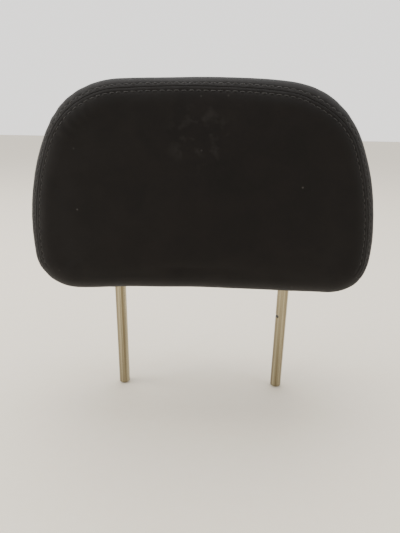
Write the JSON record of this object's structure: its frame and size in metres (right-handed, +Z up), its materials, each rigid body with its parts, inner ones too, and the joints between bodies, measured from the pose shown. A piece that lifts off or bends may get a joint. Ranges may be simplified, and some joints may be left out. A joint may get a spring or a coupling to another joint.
{
  "type": "seat head restraint",
  "caption": "Padded seat head restraint: a cloth-covered cushion with rounded upper corners that tilts forward on a bent round steel bar whose straight posts plug into a seat back.",
  "frame": {"origin": "midway between the axes of the posts, level with the lock face of the notch in the post at +X", "axes": "+Z up along the posts, -Y towards the sitter's head (the face), +X towards the right as seen from the face's side"},
  "size_m": [0.266, 0.104, 0.2736],
  "materials": {
    "plated_steel": "satin",
    "zinc_fasteners": "satin",
    "spring_steel": "satin",
    "acetal": "satin",
    "grey_polypropylene": "matte",
    "black_polypropylene": "matte",
    "rubber": "matte",
    "polyurethane_foam": "matte",
    "cover_cloth": "matte"
  },
  "bodies": {
    "bar": {"post_frame": "plated_steel", "stop_lug": "plated_steel"},
    "cushion": {"bush_left": "acetal", "bush_right": "acetal", "friction_clip_left": "spring_steel", "friction_clip_right": "spring_steel", "clip_screws": "zinc_fasteners", "clip_nuts": "zinc_fasteners", "core_screws": "zinc_fasteners", "core_front_shell": "grey_polypropylene", "core_rear_shell": "grey_polypropylene", "bumper_front": "rubber", "bumper_rear": "rubber", "foam_bun": "polyurethane_foam", "cover_front_panel": "cover_cloth", "cover_side_band": "cover_cloth", "cover_back_panel": "cover_cloth", "closure_hook_strip": "black_polypropylene", "closure_catch_strip": "black_polypropylene", "bezel_left": "black_polypropylene", "bezel_right": "black_polypropylene"}
  },
  "joints": [
    {"name": "cushion_tilt", "type": "hinge", "parent": "bar", "child": "cushion", "pos_m": [0, 0, 0.118], "axis": [1, 0, 0], "range_deg": [0, 15]}
  ]
}
